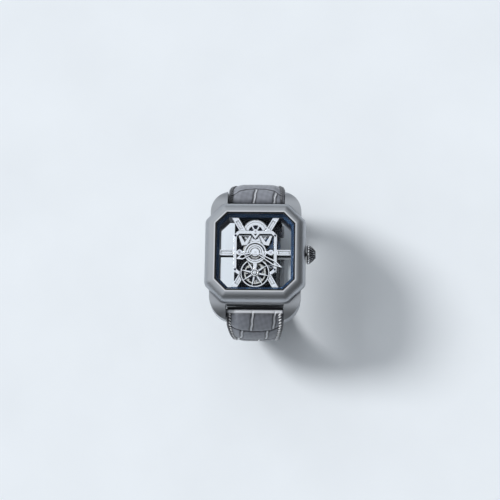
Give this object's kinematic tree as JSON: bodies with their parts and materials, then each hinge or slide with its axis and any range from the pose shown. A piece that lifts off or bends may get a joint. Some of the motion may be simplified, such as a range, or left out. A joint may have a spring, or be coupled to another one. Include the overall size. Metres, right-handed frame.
{
  "type": "tourbillon wristwatch",
  "caption": "Skeleton wristwatch with an octagonal bezel, open movement with a tourbillon at 6 o'clock, lozenge hands, fluted crown and a closed leather strap.",
  "frame": {"origin": "under the hands' axis, on the flat outer face of the buckle that the closed strap rests on", "axes": "+Z along the dial's normal, +X towards the crown at 3 o'clock, +Y towards 12 o'clock"},
  "size_m": [0.0461, 0.0674, 0.055],
  "materials": {
    "case_metal": "matte grey bead-blasted titanium",
    "polished_steel": "polished and bevelled steel",
    "bare_steel": "satin steel",
    "flange_blue": "deep blue satin coat",
    "dark_plate": "dark satin coat",
    "dark_crown": "dark satin with bright flutes",
    "gilt": "fine-grained gilt",
    "blued_steel": "polished blued steel",
    "crystal": "clear polished crystal",
    "gasket_black": "matt black",
    "strap_leather": "semi-matt grey alligator grain",
    "jewel_clear": "polished pale jewel"
  },
  "bodies": {
    "root": {"bezel": "case_metal", "front_crystal": "crystal", "crystal_gasket": "gasket_black", "flange": "flange_blue", "case_middle": "case_metal", "movement_ring": "polished_steel", "back_gasket": "gasket_black", "case_back": "case_metal", "back_crystal": "crystal", "back_screws": "bare_steel", "crown_tube": "bare_steel", "crown_gasket": "gasket_black", "spring_bars": "bare_steel", "strap_short": "strap_leather", "strap_long": "strap_leather", "buckle_frame": "case_metal", "buckle_bar": "bare_steel", "fixed_keeper": "strap_leather", "mainplate": "dark_plate", "frame_pillars": "polished_steel", "movement_frame": "polished_steel", "hour_struts": "polished_steel", "central_disc": "polished_steel", "frame_jewels": "jewel_clear", "finger_bridge": "polished_steel", "centre_cock": "bare_steel", "third_cock": "bare_steel", "fixed_wheel": "gilt", "bridge_screws": "blued_steel"},
    "stem": {"winding_stem": "polished_steel"},
    "crown": {"crown": "dark_crown"},
    "winding": {"winding_pinion": "bare_steel"},
    "transfer": {"crown_wheel": "flange_blue"},
    "ratchet": {"ratchet_wheel": "polished_steel", "barrel_arbor": "bare_steel"},
    "barrel": {"barrel_drum": "bare_steel", "barrel_cover": "dark_plate", "mainspring": "blued_steel"},
    "centre": {"centre_wheel": "gilt", "cannon_pinion": "bare_steel", "minute_hand": "polished_steel"},
    "motion": {"minute_wheel": "gilt"},
    "hour": {"hour_wheel": "gilt", "hour_hand": "polished_steel"},
    "third": {"third_wheel": "gilt"},
    "cage": {"cage_lower": "bare_steel", "cage_upper": "polished_steel", "hairspring": "blued_steel"},
    "escape": {"escape_wheel": "bare_steel"},
    "fork": {"pallet_fork": "bare_steel"},
    "balance": {"balance_wheel": "gilt", "balance_staff": "bare_steel"},
    "tongue": {"buckle_tongue": "bare_steel"},
    "keeper": {"free_keeper": "strap_leather"}
  },
  "joints": [
    {"name": "crown_pull", "type": "slide", "parent": "root", "child": "stem", "axis": [1, 0, 0], "range_m": [0, 0.0012]},
    {"name": "crown_turn", "type": "hinge", "parent": "stem", "child": "crown", "pos_m": [0.023, 0, 0.0485], "axis": [1, 0, 0], "continuous": true},
    {"name": "winding_turn", "type": "hinge", "parent": "root", "child": "winding", "pos_m": [0.0083, 0, 0.0485], "axis": [1, 0, 0], "continuous": true},
    {"name": "transfer_turn", "type": "hinge", "parent": "root", "child": "transfer", "pos_m": [0.0066, 0.0028, 0.05], "axis": [0, 0, -1], "continuous": true},
    {"name": "ratchet_turn", "type": "hinge", "parent": "root", "child": "ratchet", "pos_m": [0, 0.0089, 0.05], "axis": [0, 0, -1], "continuous": true},
    {"name": "cage_turn", "type": "hinge", "parent": "root", "child": "cage", "pos_m": [0, -0.0085, 0.05], "axis": [0, 0, -1], "continuous": true},
    {"name": "barrel_turn", "type": "hinge", "parent": "root", "child": "barrel", "pos_m": [0, 0.0089, 0.05], "axis": [0, 0, -1], "continuous": true},
    {"name": "centre_turn", "type": "hinge", "parent": "root", "child": "centre", "pos_m": [0, 0, 0.05], "axis": [0, 0, -1], "continuous": true},
    {"name": "motion_turn", "type": "hinge", "parent": "root", "child": "motion", "pos_m": [-0.0027, 0.00156, 0.05], "axis": [0, 0, -1], "continuous": true},
    {"name": "hour_turn", "type": "hinge", "parent": "root", "child": "hour", "pos_m": [0, 0, 0.05], "axis": [0, 0, -1], "continuous": true},
    {"name": "third_turn", "type": "hinge", "parent": "root", "child": "third", "pos_m": [0.00106, -0.00456, 0.05], "axis": [0, 0, -1], "continuous": true},
    {"name": "escape_turn", "type": "hinge", "parent": "cage", "child": "escape", "pos_m": [0.00165, -0.01136, 0.05], "axis": [0, 0, -1], "continuous": true},
    {"name": "fork_rock", "type": "hinge", "parent": "cage", "child": "fork", "pos_m": [0.00063, -0.00958, 0.049], "axis": [0, 0, -1], "range_deg": [-5, 5]},
    {"name": "balance_swing", "type": "hinge", "parent": "cage", "child": "balance", "pos_m": [0, -0.0085, 0.05], "axis": [0, 0, -1], "range_deg": [-270, 270], "stiffness_Nm_per_rad": 0.0000005},
    {"name": "tongue_lift", "type": "hinge", "parent": "root", "child": "tongue", "pos_m": [0, 0.0087, 0.0056], "axis": [1, 0, 0], "range_deg": [0, 12]},
    {"name": "keeper_slide", "type": "hinge", "parent": "root", "child": "keeper", "pos_m": [0, 0.0087, 0.0299], "axis": [1, 0, 0], "range_deg": [-5, 5]}
  ],
  "couplings": [
    {"joint": "winding_turn", "follows": "crown_turn", "ratio": 1},
    {"joint": "transfer_turn", "follows": "crown_turn", "ratio": 0.46667},
    {"joint": "ratchet_turn", "follows": "crown_turn", "ratio": -0.34222},
    {"joint": "third_turn", "follows": "cage_turn", "ratio": -0.13333},
    {"joint": "centre_turn", "follows": "cage_turn", "ratio": 0.016667},
    {"joint": "barrel_turn", "follows": "cage_turn", "ratio": -0.010476},
    {"joint": "motion_turn", "follows": "cage_turn", "ratio": -0.0055556},
    {"joint": "hour_turn", "follows": "cage_turn", "ratio": 0.0013889},
    {"joint": "escape_turn", "follows": "cage_turn", "ratio": 10}
  ]
}
